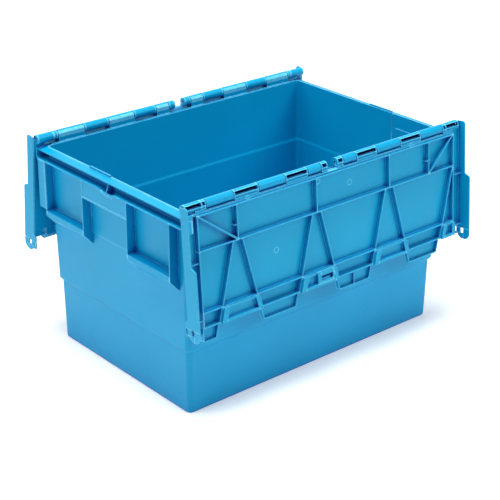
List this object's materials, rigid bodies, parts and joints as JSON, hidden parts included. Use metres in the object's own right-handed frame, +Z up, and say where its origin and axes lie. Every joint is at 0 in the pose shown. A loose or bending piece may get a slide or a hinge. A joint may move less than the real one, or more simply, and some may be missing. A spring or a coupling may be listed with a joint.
{
  "type": "attached-lid stacking crate",
  "caption": "Rectangular plastic tote with two half lids hinged on its long sides, swung fully open, and hand holds at the ends.",
  "frame": {"origin": "on the floor under the centre of the crate", "axes": "+X along the long side, +Y from the front lid to the rear lid, +Z up"},
  "size_m": [0.6, 0.4732, 0.3673],
  "materials": {
    "body_plastic": "satin moulded polypropylene",
    "lid_plastic": "satin moulded polypropylene",
    "rod_plastic": "dark plastic rod"
  },
  "bodies": {
    "crate": {"crate_body": "body_plastic", "hinge_rod_front_left": "rod_plastic", "hinge_rod_front_right": "rod_plastic", "hinge_rod_rear_left": "rod_plastic", "hinge_rod_rear_right": "rod_plastic"},
    "front_lid": {"front_lid": "lid_plastic"},
    "rear_lid": {"rear_lid": "lid_plastic"}
  },
  "joints": [
    {"name": "front_lid_hinge", "type": "hinge", "parent": "crate", "child": "front_lid", "pos_m": [0, -0.193, 0.3598], "axis": [-1, 0, 0], "range_deg": [0, 265.3]},
    {"name": "rear_lid_hinge", "type": "hinge", "parent": "crate", "child": "rear_lid", "pos_m": [0, 0.193, 0.3598], "axis": [1, 0, 0], "range_deg": [0, 265.3]}
  ]
}
